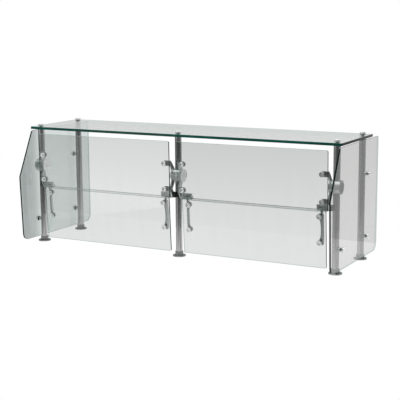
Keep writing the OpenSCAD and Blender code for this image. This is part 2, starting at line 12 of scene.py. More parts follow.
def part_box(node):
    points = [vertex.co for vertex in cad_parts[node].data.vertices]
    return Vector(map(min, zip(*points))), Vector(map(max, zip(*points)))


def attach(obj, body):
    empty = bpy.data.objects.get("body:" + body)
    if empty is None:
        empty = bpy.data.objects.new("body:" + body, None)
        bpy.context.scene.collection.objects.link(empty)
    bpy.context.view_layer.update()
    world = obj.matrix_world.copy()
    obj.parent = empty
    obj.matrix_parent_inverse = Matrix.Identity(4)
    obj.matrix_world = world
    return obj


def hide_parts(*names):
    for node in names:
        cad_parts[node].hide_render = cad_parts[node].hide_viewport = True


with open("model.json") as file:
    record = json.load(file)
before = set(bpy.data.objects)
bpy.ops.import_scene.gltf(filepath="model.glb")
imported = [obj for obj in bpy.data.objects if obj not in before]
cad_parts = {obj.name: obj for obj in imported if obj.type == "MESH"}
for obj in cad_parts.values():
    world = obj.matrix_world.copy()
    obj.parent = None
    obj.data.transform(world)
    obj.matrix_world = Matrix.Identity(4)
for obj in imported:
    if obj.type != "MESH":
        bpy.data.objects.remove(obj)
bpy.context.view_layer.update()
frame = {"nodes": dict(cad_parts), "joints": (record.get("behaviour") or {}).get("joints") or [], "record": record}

nodes = frame["nodes"]
mm = 0.001
print("frame loaded with", len(nodes), "CAD nodes")

viewpoint = {"place": (1.9375, -3.5496, 0.9109), "heading": 28.31, "dip": 10.01, "roll": -0.37, "lens": 94.69,
             "farthest": 200}


def turnAbout(axis, degrees):
    return Matrix.Rotation(math.radians(degrees), 4, axis)


def makeCamera():
    eye = bpy.data.objects.new("camera", bpy.data.cameras.new("camera"))
    eye.data.lens = viewpoint["lens"]
    eye.data.clip_end = viewpoint["farthest"]
    aim = turnAbout("Z", viewpoint["heading"]) @ turnAbout("X", 90 - viewpoint["dip"])
    eye.matrix_world = Matrix.Translation(viewpoint["place"]) @ aim @ turnAbout("Z", viewpoint["roll"])
    bpy.context.scene.collection.objects.link(eye)
    bpy.context.scene.camera = eye


makeCamera()
print("camera set")


class Sock:  # a socket that can stand in a sum or a product
    def __init__(self, shader, socket):
        self.shader, self.socket = shader, socket

    def work(self, operation, *terms):
        return self.shader.node("ShaderNodeMath", {"operation": operation}, dict(enumerate(terms)))

    def __add__(self, other):
        return self.work("ADD", self, other)

    def __sub__(self, other):
        return self.work("SUBTRACT", self, other)

    def __rsub__(self, other):
        return self.work("SUBTRACT", other, self)

    def __mul__(self, other):
        return self.work("MULTIPLY", self, other)

    def __pow__(self, other):
        return self.work("POWER", self, other)

    def unsigned(self):
        return self.work("ABSOLUTE", self)

    def orMore(self, other):  # the greater of the two
        return self.work("MAXIMUM", self, other)

    def sine(self):
        return self.work("SINE", self)

    __radd__, __rmul__ = __add__, __mul__


class Shader:  # a node tree that is filled one node at a time
    def __init__(self, tree):
        self.tree = tree
        tree.nodes.clear()

    def node(self, kind, settings=None, inputs=None, output=0):
        made = self.tree.nodes.new(kind)
        for name, value in (settings or {}).items():
            setattr(made, name, value)
        for name, value in (inputs or {}).items():
            if isinstance(value, Sock):
                self.tree.links.new(value.socket, made.inputs[name])
            else:
                made.inputs[name].default_value = value
        return Sock(self, made.outputs[output])

    def place(self, stretch=(1, 1, 1)):  # object coordinates
        raw = self.node("ShaderNodeTexCoord", output=3)
        return self.node("ShaderNodeMapping", {}, {"Vector": raw, "Scale": stretch})

    def noise(self, numbers):  # over the piece, from what grain() names
        values = {"Vector": self.place(numbers["stretch"]), "Scale": numbers["scale"],
                  "Detail": numbers["detail"], "Roughness": numbers["roughness"]}
        return self.node("ShaderNodeTexNoise", {}, values)

    def between(self, value, low, high, least=0.0, most=1.0):  # low to high becomes least to most
        values = {0: value, 1: low, 2: high, 3: least, 4: most}
        return self.node("ShaderNodeMapRange", {}, values)

    def blend(self, share, first, second):
        return self.node("ShaderNodeMix", {"data_type": "RGBA"}, {0: share, 6: first, 7: second}, 2)

    def bump(self, height, depth, strength):
        return self.node("ShaderNodeBump", {}, {"Height": height, "Distance": depth, "Strength": strength})

    def principled(self, values):
        return self.node("ShaderNodeBsdfPrincipled", {}, values)

    def clear(self, tint):
        return self.node("ShaderNodeBsdfTransparent", {}, {"Color": tint})

    def mix(self, share, first, second):
        return self.node("ShaderNodeMixShader", {}, {0: share, 1: first, 2: second})

    def parts(self, vector):  # the three numbers of a vector
        split = self.tree.nodes.new("ShaderNodeSeparateXYZ")
        self.tree.links.new(vector.socket, split.inputs[0])
        return [Sock(self, split.outputs[k]) for k in range(3)]

    def finish(self, surface, kind="ShaderNodeOutputMaterial"):
        self.tree.links.new(surface.socket, self.tree.nodes.new(kind).inputs["Surface"])


def newMaterial(name):
    made = bpy.data.materials.new(name)
    made.use_nodes = True
    return made, Shader(made.node_tree)


def grey(level):
    return (level, level, level, 1)


def grain(scale, detail=3.0, roughness=0.5, stretch=(1, 1, 1)):  # the numbers of one noise
    return {"scale": scale, "detail": detail, "roughness": roughness, "stretch": stretch}


# in the looks below a range is (low, high) or (low, high, least, most), and a bump is (depth, strength)
tubeLook = {
    "light": grey(0.54), "dark": grey(0.30), "rough": 0.19, "anisotropy": 0.35, "bump": (0.00003, 0.6),
    "lines": grain(1500.0, 3.0, 0.65, (1, 1, 0.006)), "lineShare": 0.6,
    "bands": grain(260.0, 2.0, 0.5, (1, 1, 0.02)), "bandShare": 0.4, "toneRange": (0.36, 0.64),
    "marks": grain(22.0, 4.0, 0.6, (1, 1, 0.6)), "markDulling": (0.45, 0.7, 0.0, 0.09), "toneDulling": 0.06,
}


def brushedTube():  # fine lines drawn along the post, with handling marks that dull it
    made, shader = newMaterial("brushedTube")
    look = tubeLook
    lines, bands, marks = [shader.noise(look[k]) for k in ("lines", "bands", "marks")]
    share = shader.between(lines * look["lineShare"] + bands * look["bandShare"], *look["toneRange"])
    tone = shader.blend(share, look["dark"], look["light"])
    dulled = shader.between(marks, *look["markDulling"])
    gloss = look["rough"] + dulled + (share - 0.5) * look["toneDulling"]
    values = {"Base Color": tone, "Metallic": 1.0, "Roughness": gloss, "Anisotropic": look["anisotropy"],
              "Normal": shader.bump(lines, *look["bump"])}
    shader.finish(shader.principled(values))
    return made


castLook = {
    "cast": {"light": (0.66, 0.70, 0.68, 1), "dark": (0.50, 0.54, 0.525, 1)},
    # foot: a darker copy of the same cast steel for the feet, painted shade
    "foot": {"light": (0.29, 0.305, 0.30, 1), "dark": (0.17, 0.18, 0.175, 1)},
    "pebble": grain(950.0, 3.0, 0.6), "pebbleShare": 0.3, "flow": grain(60.0), "flowShare": 0.7,
    "toneRange": (0.36, 0.64), "rough": 0.40, "bump": (0.00008, 0.5),
    "rubbed": grain(18.0, 4.0, 0.6), "rubDulling": (0.4, 0.65, -0.05, 0.07),
}


def castSteel(name):  # blasted investment casting: fine pebble, faint flow and rubbed patches
    made, shader = newMaterial("steel" + name.title())
    look = castLook
    pebble, flow, rubbed = [shader.noise(look[k]) for k in ("pebble", "flow", "rubbed")]
    share = shader.between(flow * look["flowShare"] + pebble * look["pebbleShare"], *look["toneRange"])
    tone = shader.blend(share, look[name]["dark"], look[name]["light"])
    gloss = look["rough"] + shader.between(rubbed, *look["rubDulling"])
    values = {"Base Color": tone, "Metallic": 1.0, "Roughness": gloss,
              "Normal": shader.bump(pebble, *look["bump"])}
    shader.finish(shader.principled(values))
    return made


turnedLook = {
    "turned": {"light": (0.84, 0.87, 0.86, 1), "dark": (0.62, 0.65, 0.64, 1), "rough": 0.28},
    # satin: a paler copy of the turned steel, painted light on the caps and hub end discs; its higher roughness is
    # the satin finish
    "satinPaintedLight": {"light": (0.97, 0.98, 0.975, 1), "dark": (0.86, 0.885, 0.875, 1), "rough": 0.42},
    "pitch": 0.00045, "wobble": grain(300.0, 2.0), "wobbleRadians": 2.4,
    "ringShare": 0.6, "bump": (0.00001, 0.4),
    "marks": grain(40.0, 4.0, 0.6), "markShare": 0.4, "markDulling": (0.4, 0.7, 0.0, 0.1),
}


def turnedSteel(name):  # lathe rings that follow each piece's own radius
    made, shader = newMaterial("steel" + name.title())
    look, own = turnedLook, turnedLook[name]
    reach = shader.node("ShaderNodeAttribute", {"attribute_name": "reach"}, {}, 2)
    wobble = shader.noise(look["wobble"]) * look["wobbleRadians"]
    rings = (reach * (2 * math.pi / look["pitch"]) + wobble).sine() * 0.5 + 0.5
    marks = shader.noise(look["marks"])
    tone = shader.blend(rings * look["ringShare"] + marks * look["markShare"], own["dark"], own["light"])
    gloss = own["rough"] + shader.between(marks, *look["markDulling"])
    values = {"Base Color": tone, "Metallic": 1.0, "Roughness": gloss,
              "Normal": shader.bump(rings, *look["bump"])}
    shader.finish(shader.principled(values))
    return made


rubberLook = {
    "light": (0.030, 0.030, 0.032, 1), "dark": (0.011, 0.011, 0.012, 1), "rough": 0.62, "specular": 0.4,
    "skin": grain(1400.0, 3.0, 0.6), "dust": grain(90.0, 4.0, 0.65), "dustRange": (0.42, 0.7),
    "dustDulling": (0.4, 0.7, -0.06, 0.12), "bump": (0.00006, 0.5),
}


def mouldedRubber():  # matt black rubber with a fine moulded skin and a little dust
    made, shader = newMaterial("mouldedRubber")
    look = rubberLook
    skin, dust = shader.noise(look["skin"]), shader.noise(look["dust"])
    tone = shader.blend(shader.between(dust, *look["dustRange"]), look["dark"], look["light"])
    gloss = look["rough"] + shader.between(dust, *look["dustDulling"])
    values = {"Base Color": tone, "Roughness": gloss, "Specular IOR Level": look["specular"],
              "Normal": shader.bump(skin, *look["bump"])}
    shader.finish(shader.principled(values))
    return made


nylonLook = {"light": (0.80, 0.84, 0.84, 1), "dark": (0.62, 0.66, 0.66, 1), "cloud": grain(180.0),
             "solid": (0.3, 0.7, 0.42, 0.58), "rough": (0.3, 0.7, 0.22, 0.34)}


def nylon():  # clear bushing, faintly milky
    made, shader = newMaterial("nylon")
    cloud = shader.noise(nylonLook["cloud"])
    values = {"Base Color": shader.blend(cloud, nylonLook["dark"], nylonLook["light"]),
              "Roughness": shader.between(cloud, *nylonLook["rough"]),
              "Alpha": shader.between(cloud, *nylonLook["solid"])}
    shader.finish(shader.principled(values))
    return made


glassLook = {  # tint and band alternate along the drawn lines, far takes over along an axis over farRange; the tints and far gradients differ from pane to pane as painted light and shade
    # front: far darkens the panes towards the top, painted shade
    "front": {"tint": (0.857, 0.866, 0.863, 1), "band": (0.851, 0.860, 0.857, 1),
              "far": (0.800, 0.811, 0.807, 1), "axis": 2, "farRange": (0.24, 0.44)},
    # top: far lightens the sheet towards +X, painted light
    "top": {"tint": (0.884, 0.888, 0.888, 1), "band": (0.875, 0.880, 0.880, 1),
            "far": (0.894, 0.896, 0.896, 1), "axis": 0, "farRange": (-0.6, 0.6)},
    # right: a darker copy of the pane tint that far darkens towards the top, painted shade
    "right": {"tint": (0.826, 0.823, 0.823, 1), "band": (0.818, 0.815, 0.815, 1),
              "far": (0.784, 0.781, 0.781, 1), "axis": 2, "farRange": (0.15, 0.42)},
    # left: a much darker, greener tint at the front that gives way to a lighter far tint towards the rear, painted
    # shade
    "left": {"tint": (0.640, 0.668, 0.662, 1), "band": (0.595, 0.625, 0.618, 1),
             "far": (0.822, 0.850, 0.843, 1), "axis": 1, "farRange": (-0.19, -0.09)},
}
glassFace = {"drawn": grain(34.0, 2.0, 0.5, (1, 1, 0.03)), "bandRange": (0.4, 0.62),
             "gloss": (0.97, 0.99, 0.98, 1), "rough": 0.02,
             "weight": 0.5, "power": 5, "glance": 0.96, "least": 0.04}


def paneGlass(name):  # one face of clear float glass: tint, faint drawn bands, gloss that grows at a glance; painted light and shade ride on the tint, per pane and along an axis
    made, shader = newMaterial("paneGlass" + name.title())
    look, face = glassLook[name], glassFace
    banded = shader.between(shader.noise(face["drawn"]), *face["bandRange"])
    near = shader.mix(banded, shader.clear(look["tint"]), shader.clear(look["band"]))
    along = shader.parts(shader.place())[look["axis"]]
    through = shader.mix(shader.between(along, *look["farRange"]), near, shader.clear(look["far"]))
    gloss = shader.node("ShaderNodeBsdfAnisotropic", {}, {"Color": face["gloss"], "Roughness": face["rough"]})
    slant = shader.node("ShaderNodeLayerWeight", {}, {"Blend": face["weight"]}, 1)
    shader.finish(shader.mix((slant ** face["power"]) * face["glance"] + face["least"], through, gloss))
    return made


edgeLook = {
    "top": {"deep": (0.004, 0.058, 0.043, 1), "bright": (0.008, 0.105, 0.080, 1),
            "pale": (0.10, 0.22, 0.18, 1), "paleRange": (0.85, 0.99)},
    "thin": {"deep": (0.002, 0.010, 0.008, 1), "bright": (0.004, 0.022, 0.017, 1),
             "pale": (0.31, 0.36, 0.34, 1), "paleRange": (0.60, 0.88)},
    "pane": {"deep": (0.003, 0.009, 0.007, 1), "bright": (0.005, 0.020, 0.015, 1),
             "pale": (0.46, 0.56, 0.52, 1), "paleRange": (0.35, 0.75)},
    # pale, set by paleRange and backRange, is painted light; end, set by endRange, is painted shade
    "backRange": (0.3, 0.8), "end": (0.004, 0.007, 0.006, 1), "endRange": (0.5, 0.9),
    "polish": grain(420.0, 3.0, 0.6), "polishShare": 0.2, "streak": grain(7.0, 3.0, 0.55), "streakShare": 0.8,
    "toneRange": (0.38, 0.62), "rough": 0.12, "dulling": 0.08, "specular": 0.14, "bump": (0.00003, 0.3),
    "inner": (0.58, 0.66, 0.63, 1),
}


def edgeGlass(name):  # polished edge: deep green in front, painted shade near black at the ends, painted light pale facing up, down or back
    made, shader = newMaterial("edgeGlass" + name.title())
    look, own = edgeLook, edgeLook[name]
    nx, ny, nz = shader.parts(shader.node("ShaderNodeTexCoord", output=1))
    # painted light: the edge turns pale where it faces up, down or back
    pale = shader.between(nz.unsigned(), *own["paleRange"]).orMore(shader.between(ny, *look["backRange"]))
    polish, streak = shader.noise(look["polish"]), shader.noise(look["streak"])
    share = shader.between(streak * look["streakShare"] + polish * look["polishShare"], *look["toneRange"])
    front = shader.blend(share, own["deep"], own["bright"])
    # painted shade: near black where the edge faces the ends
    sideways = shader.blend(shader.between(nx.unsigned(), *look["endRange"]), front, look["end"])
    values = {"Base Color": shader.blend(pale, sideways, own["pale"]),
              "Roughness": look["rough"] + polish * look["dulling"], "Specular IOR Level": look["specular"],
              "Normal": shader.bump(polish, *look["bump"])}
    behind = shader.node("ShaderNodeNewGeometry", output=6)
    shader.finish(shader.mix(behind, shader.principled(values), shader.clear(look["inner"])))
    return made


finishes = {
    "tube": brushedTube(),
    "cast": castSteel("cast"),
    "foot": castSteel("foot"),
    "turned": turnedSteel("turned"),
    # a paler copy of the turned steel: painted light, with a rougher satin finish
    "satinPaintedLight": turnedSteel("satinPaintedLight"),
    "rubber": mouldedRubber(),
    "nylon": nylon(),
    "front": paneGlass("front"),
    "top": paneGlass("top"),
    "left": paneGlass("left"),
    "right": paneGlass("right"),
    "topEdge": edgeGlass("top"),
    "thinEdge": edgeGlass("thin"),
    "paneEdge": edgeGlass("pane"),
}
print("finishes made:", ", ".join(finishes))

meshing = {"weld": 1e-7, "sharp": 24, "turnSteps": 72, "holeSteps": 40, "cornerSteps": 7, "arrisSteps": 4,
           "bendSteps": 5, "smallBendSteps": 4}


def finishMesh(name, points, faces, materials, kinds=0, smooth=True, reach=None):
    # kinds and smooth are one value, or one for each face; reach, when given, is one for each point
    mesh = bpy.data.meshes.new(name)
    mesh.from_pydata(points.tolist(), [], faces)
    mesh.polygons.foreach_set("material_index", np.full(len(faces), kinds, np.int32))
    mesh.polygons.foreach_set("use_smooth", np.full(len(faces), smooth, bool))
    if reach is not None:
        layer = mesh.attributes.new("reach", "FLOAT", "POINT")
        layer.data.foreach_set("value", np.asarray(reach, np.float32))
    work = bmesh.new()
    work.from_mesh(mesh)
    bmesh.ops.remove_doubles(work, verts=work.verts, dist=meshing["weld"])
    bmesh.ops.recalc_face_normals(work, faces=work.faces)
    work.to_mesh(mesh)
    work.free()
    for material in materials:
        mesh.materials.append(material)
    piece = bpy.data.objects.new(name, mesh)
    bpy.context.scene.collection.objects.link(piece)
    return piece


def gridFaces(across, along, wrapAlong, start=0):
    # quads of an across by along grid of points, closed across and, if asked, along
    i, j = np.meshgrid(np.arange(across), np.arange(along if wrapAlong else along - 1), indexing="ij")
    nextI, nextJ = (i + 1) % across, (j + 1) % along
    quads = np.stack([i * along + j, nextI * along + j, nextI * along + nextJ, i * along + nextJ], -1)
    return quads.reshape(-1, 4) + start


def turned(name, profile, spots, axes, material, closed=False, steps=meshing["turnSteps"]):
    # a profile of height, radius and hex share, all in mm, carried round an axis at each spot:
    # point = spot + height * axis + radius * (cos(angle) * right + sin(angle) * up), and a hex share of 1
    # pulls the circle in to the flats of a hexagon
    height, radius, hexed = np.array(profile, float).T * np.array([[mm], [mm], [1]])
    angle = np.arange(steps) * (2 * np.pi / steps)
    flat = np.cos(np.pi / 6) / np.cos(np.mod(angle, np.pi / 3) - np.pi / 6)
    reach = radius * (1 + hexed * (flat[:, None] - 1))
    local = np.stack([reach * np.cos(angle)[:, None], reach * np.sin(angle)[:, None],
                      np.broadcast_to(height, reach.shape)], -1)
    points = np.asarray(spots)[:, None, None, :] + local @ np.asarray(axes)
    count = steps * len(profile)
    quads = np.concatenate([gridFaces(steps, len(profile), closed, k * count) for k in range(len(spots))])
    piece = finishMesh(name, points.reshape(-1, 3), quads.tolist(), [material],
                       reach=np.tile(reach.ravel(), len(spots)))
    piece.data.set_sharp_from_angle(angle=math.radians(meshing["sharp"]))
    return piece


def roundedLoop(corners, radii, steps):
    # every corner becomes an arc: centre + radius * (cos, sin) from one tangent point to the other;
    # gives the points and the outward normals
    q, r = np.asarray(corners, float), np.asarray(radii, float)[:, None]
    before, after = np.roll(q, 1, 0) - q, np.roll(q, -1, 0) - q
    u, v = (w / np.linalg.norm(w, axis=1, keepdims=True) for w in (before, after))
    half = np.arccos(np.sum(u * v, axis=1, keepdims=True)) / 2
    middle = (u + v) / np.linalg.norm(u + v, axis=1, keepdims=True)
    centre = q + middle * r / np.sin(half)
    first, last = q + u * r / np.tan(half) - centre, q + v * r / np.tan(half) - centre
    start = np.arctan2(first[:, 1], first[:, 0])
    sweep = np.mod(np.arctan2(last[:, 1], last[:, 0]) - start + np.pi, 2 * np.pi) - np.pi
    angle = start[:, None] + sweep[:, None] * np.linspace(0, 1, steps)
    normal = np.stack([np.cos(angle), np.sin(angle)], -1)
    return (centre[:, None, :] + r[:, None, :] * normal).reshape(-1, 2), normal.reshape(-1, 2)


def oblong(x0, z0, x1, z1, radius):
    return roundedLoop([(x0, z0), (x1, z0), (x1, z1), (x0, z1)], [radius] * 4, meshing["cornerSteps"])


def sheetPiece(name, loop, holes, low, high, arris, place, materials):
    # an edge profile carried round the outline and round each hole, then both faces filled:
    # point = outline - normal * inset, at a level between low and high, with a quarter arc on each arris
    quarter = np.linspace(0, np.pi / 2, meshing["arrisSteps"])
    inset = arris * (1 - np.sin(quarter))
    drop = arris * (1 - np.cos(quarter))
    insets = np.concatenate([inset, inset[::-1]])
    levels = np.concatenate([high - drop, low + drop[::-1]])
    spin = np.arange(meshing["holeSteps"]) * (2 * np.pi / meshing["holeSteps"])
    ring = np.stack([np.cos(spin), np.sin(spin)], -1)
    loops = [loop] + [(np.asarray(at) + radius * ring, -ring) for at, radius in holes]
    points, faces, rims, start = [], [], [], 0
    for outline, normal in loops:
        rows = outline[:, None, :] - normal[:, None, :] * insets[None, :, None]
        flat = np.concatenate([rows, np.broadcast_to(levels, rows.shape[:2])[..., None]], -1)
        points.append(flat.reshape(-1, 3))
        faces += gridFaces(len(outline), len(levels), False, start).tolist()
        rims.append((start + np.arange(len(outline)) * len(levels), rows[:, 0]))
        start += len(outline) * len(levels)
    edgeCount = len(faces)
    index = np.concatenate([rim[0] for rim in rims])
    filled = tessellate_polygon([[Vector((*p, 0)) for p in rim[1]] for rim in rims])
    top = index[np.array(filled)]
    bottom = (top + len(levels) - 1)[:, ::-1]
    faces += top.tolist() + bottom.tolist()
    kinds = np.r_[np.ones(edgeCount), np.zeros(2 * len(top))]  # 0 on the two faces, 1 on the edges
    local = np.concatenate(points)
    world = np.c_[local, np.ones(len(local))] @ np.array(place).T
    return finishMesh(name, world[:, :3], faces, materials, kinds, kinds > 0)


def joined(name, parts):  # several meshes of one finish become one piece
    work = bmesh.new()
    for part in parts:
        work.from_mesh(part.data)
    mesh = bpy.data.meshes.new(name)
    work.to_mesh(mesh)
    work.free()
    mesh.materials.append(parts[0].data.materials[0])
    for part in parts:
        bpy.data.objects.remove(part)
    piece = bpy.data.objects.new(name, mesh)
    bpy.context.scene.collection.objects.link(piece)
    return piece


def hand(piece, body, slotName, *stands):  # the piece moves with the body and stands for the CAD node
    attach(piece, body)
    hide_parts(*stands)


hubAt = Vector(next(j["pos_m"] for j in frame["joints"] if j["name"] == "left_tilt"))
hingeAt = Vector(next(j["pos_m"] for j in frame["joints"] if j["name"] == "left_fold"))
pitch = sum(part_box("post_front_right")[k].x for k in (0, 1)) / 2
frontY = hubAt.y
rearY = sum(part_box("post_rear_left")[k].y for k in (0, 1)) / 2
posts = [(-pitch, frontY), (0.0, frontY), (pitch, frontY), (-pitch, rearY), (pitch, rearY)]
sides = {"left": -1, "right": 1}
lean = {"upper": 1.2, "lower": 3.6}

asIs = Matrix.Identity(4)
endwise = Matrix(((0, 0, 1, 0), (1, 0, 0, 0), (0, 1, 0, 0), (0, 0, 0, 1)))  # outline in Y and Z, level along X
upright = Matrix(((1, 0, 0, 0), (0, 0, 1, 0), (0, 1, 0, 0), (0, 0, 0, 1)))  # outline in X and Z, level along Y
tilted = {"upper": Matrix.Translation(hubAt) @ turnAbout("X", lean["upper"]),
          "lower": Matrix.Translation(hingeAt) @ turnAbout("X", lean["lower"])}


def bayEnds(side):  # X at the bay's two posts, each with the way into the bay
    return (min(sides[side], 0) * pitch, 1), (max(sides[side], 0) * pitch, -1)


topGlass = {"corner": 6 * mm, "hole": 6 * mm, "arris": 0.6 * mm}


def makeTopGlass():
    low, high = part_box("top_glass")
    loop = oblong(low.x, low.y, high.x, high.y, topGlass["corner"])
    holes = [(p, topGlass["hole"]) for p in posts]
    piece = sheetPiece("topGlass", loop, holes, low.z, high.z, topGlass["arris"], asIs,
                       [finishes["top"], finishes["topEdge"]])
    hand(piece, "frame", "glass", "top_glass")


endPanel = {  # bottomFront, knee and topFront are reaches in front of the posts, kneeDrop is below the top
    "bottomFront": 109 * mm, "knee": 121 * mm, "kneeDrop": 178 * mm, "topFront": 33 * mm,
    "radii": (30 * mm, 8 * mm, 14 * mm, 25 * mm, 28 * mm), "cornerSteps": 12, "hole": 5 * mm, "arris": 0.6 * mm,
}
fixings = [(frontY, 90 * mm), (rearY, 90 * mm), (rearY, 326 * mm)]  # Y and Z of the standoffs on an end panel


def makeEndPanels():
    for side in sides:
        low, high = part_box("end_panel_" + side)
        corners = [(high.y, low.z), (high.y, high.z), (frontY - endPanel["topFront"], high.z),
                   (frontY - endPanel["knee"], high.z - endPanel["kneeDrop"]),
                   (frontY - endPanel["bottomFront"], low.z)]
        loop = roundedLoop(corners, endPanel["radii"], endPanel["cornerSteps"])
        holes = [(at, endPanel["hole"]) for at in fixings]
        piece = sheetPiece("endPanel" + side.title(), loop, holes, low.x, high.x, endPanel["arris"], endwise,
                           [finishes[side], finishes["thinEdge"]])
        hand(piece, "frame", "glass", "end_panel_" + side)


frontPane = {  # from the panel's own axis; low None ends level with the CAD pane's lowest corner
    "thick": 6 * mm, "corner": 6 * mm, "hole": 5 * mm, "arris": 0.6 * mm,
    "upper": {"back": -36.7 * mm, "low": -84 * mm, "high": 134 * mm,
              "buttonX": 38 * mm, "buttonZ": (49 * mm, -49 * mm)},
    "lower": {"back": -7.6 * mm, "low": None, "high": 1 * mm,
              "buttonX": 54 * mm, "buttonZ": (-26 * mm, -122 * mm)},
}


def buttonPlaces(side, level):  # X and Z in the leaning panel's frame
    size = frontPane[level]
    return [(start + into * size["buttonX"], z) for start, into in bayEnds(side) for z in size["buttonZ"]]


def makeFrontPanes():
    for side in sides:
        for level in lean:
            node = f"{side}_{level}_glass"
            size = frontPane[level]
            face = size["back"] - frontPane["thick"]
            low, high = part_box(node)
            bottom = size["low"]
            if bottom is None:
                tip = math.radians(lean["lower"])
                bottom = (low.z - hingeAt.z - face * math.sin(tip)) / math.cos(tip)
            loop = oblong(low.x, bottom, high.x, size["high"], frontPane["corner"])
            holes = [(at, frontPane["hole"]) for at in buttonPlaces(side, level)]
            piece = sheetPiece(f"{side}{level.title()}Glass", loop, holes, face, size["back"],
                               frontPane["arris"], tilted[level] @ upright,
                               [finishes["front"], finishes["paneEdge"]])
            hand(piece, f"{side}_{level}", "glass", node)


makeTopGlass()
makeEndPanels()
makeFrontPanes()
print("seven glass panes made")


def bend(height, radius, size, first, last, count):
    # a quarter arc of the profile: height + size * sin(angle), radius + size * cos(angle)
    angle = np.radians(np.linspace(first, last, count))
    return [(height + size * math.sin(a), radius + size * math.cos(a), 0) for a in angle]


def footBend(low, radius, size):  # out from the seat and up
    return bend(low + size, radius - size, size, -90, 0, meshing["smallBendSteps"])


def topBend(high, radius, size, count=meshing["smallBendSteps"]):  # up and in to the face
    return bend(high - size, radius - size, size, 0, 90, count)


def rim(low, high, radius, edge, foot=0.3, ledge=0.3):
    # a small arc at the foot, a larger one at the top, then a ring that keeps the face flat
    return [*footBend(low, radius, foot), *topBend(high, radius, edge, meshing["bendSteps"]),
            (high, radius - edge - ledge, 0)]


def hexSocket(top, size, depth, lip=0.5, bevel=0.25):  # a socket for a hex key, down from the face
    return [(top, size + lip, 0), (top - bevel, size, 1), (top - depth, size, 1), (top - depth, 0, 1)]


def washer(inner, outer, thick, edge):  # a flat ring with a rounded rim, as a closed profile
    return [(0, inner, 0), *footBend(0, outer, edge), *topBend(thick, outer, edge), (thick, inner, 0)]


upward = np.eye(3)  # the rows of a turned piece's axes are right, up and the way its axis points
forward = np.array([(1, 0, 0), (0, 0, 1), (0, -1, 0)], float)


def sideward(sign):
    return np.array([(0, sign, 0), (0, 0, 1), (sign, 0, 0)], float)


def leaning(axes, level):  # the same rows on a panel that leans
    turn = np.array(turnAbout("X", lean[level]).to_3x3())
    return axes @ turn.T


cap = {"low": 472 * mm, "radius": 11.0, "height": 8.0, "edge": 1.0, "foot": 0.4,
       "dishDeep": 0.15, "dishIn": 3.2, "stud": 4.0, "studDepth": 27.5}


def makeTopCaps():
    face = cap["height"] - cap["dishDeep"]
    profile = [(-cap["studDepth"], 0, 0), (-cap["studDepth"], cap["stud"], 0), (0, cap["stud"], 0),
               *rim(0, cap["height"], cap["radius"], cap["edge"], cap["foot"]),
               (face, cap["radius"] - cap["dishIn"], 0), (face, 0, 0)]
    spots = [(x, y, cap["low"]) for x, y in posts]
    piece = turned("topCaps", profile, spots, upward, finishes["satinPaintedLight"])
    hand(piece, "frame", "satin_steel", "top_caps")


seats = {  # the rubber rings below and above the top glass
    "top_glass_seats": {"name": "postSeats", "outer": 12.7, "thick": 1.5, "low": 459.5 * mm},
    "cap_seats": {"name": "capSeats", "outer": 11.0, "thick": 1.0, "low": 471 * mm},
    "inner": 4.05, "edge": 0.25,
}


def makeSeats():
    for node in ("top_glass_seats", "cap_seats"):
        own = seats[node]
        spots = [(x, y, own["low"]) for x, y in posts]
        ring = washer(seats["inner"], own["outer"], own["thick"], seats["edge"])
        piece = turned(own["name"], ring, spots, upward, finishes["rubber"], True)
        hand(piece, "frame", "rubber", node)


standoff = {"panelNear": 19.7 * mm, "glass": 6.0, "seat": 0.8, "seatEdge": 0.2, "spacer": 7.0, "bore": 4.05,
            "radius": 10.0, "height": 6.5, "edge": 1.1, "boreDepth": 4.5, "socket": 2.2, "socketDepth": 1.2}


def makeStandoffs():
    c = standoff
    profile = [(c["boreDepth"], 0, 0), (c["boreDepth"], c["bore"], 0), (0, c["bore"], 0),
               *rim(0, c["height"], c["radius"], c["edge"]),
               *hexSocket(c["height"], c["socket"], c["socketDepth"])]
    caps, rings = [], []
    for sign in sides.values():
        axes = sideward(sign)
        inside, outside, beyond = [[(sign * (pitch + c["panelNear"] + out * mm), y, z) for y, z in fixings]
                                   for out in (-c["seat"], c["glass"], c["glass"] + c["seat"])]
        caps.append(turned("standoffCap", profile, beyond, axes, finishes["satinPaintedLight"]))
        for outer, spots in ((c["spacer"], inside), (c["radius"], outside)):
            ring = washer(c["bore"], outer, c["seat"], c["seatEdge"])
            rings.append(turned("ring", ring, spots, axes, finishes["nylon"], True))
    hand(joined("standoffCaps", caps), "frame", "satin_steel", "standoff_caps")
    hand(joined("standoffGaskets", rings), "frame", "clear_plastic", "standoff_gaskets")


button = {"seat": 0.8, "seatEdge": 0.2, "seatPlay": 0.05, "glass": 6.0, "radius": 10.0, "height": 4.5,
          "edge": 1.0, "stud": 3.0, "grip": 6.5, "socket": 2.0, "socketDepth": 1.6}


def makeButtons():
    b = button
    low = 2 * b["seat"] + b["glass"]
    top = low + b["height"]
    head = [(-b["grip"], 0, 0), (-b["grip"], b["stud"], 0), (low, b["stud"], 0),
            *rim(low, top, b["radius"], b["edge"]), *hexSocket(top, b["socket"], b["socketDepth"])]
    ring = washer(b["stud"] + b["seatPlay"], b["radius"], b["seat"], b["seatEdge"])
    for side in sides:
        for level in lean:
            seatY = frontPane[level]["back"] + b["seat"] * mm
            spots = [tilted[level] @ Vector((x, seatY, z)) for x, z in buttonPlaces(side, level)]
            axes = leaning(forward, level)
            piece = turned(f"{side}{level.title()}Buttons", head, spots, axes, finishes["turned"])
            hand(piece, f"{side}_{level}", "satin_steel", f"{side}_{level}_buttons")
            behind = turned("ring", ring, spots, axes, finishes["nylon"], True)
            front = [Vector(s) + Vector(axes[2]) * (b["seat"] + b["glass"]) * mm for s in spots]
            before = turned("ring", ring, front, axes, finishes["nylon"], True)
            hand(joined(f"{side}{level.title()}Gaskets", [behind, before]), f"{side}_{level}", "clear_plastic",
                 f"{side}_{level}_gaskets")


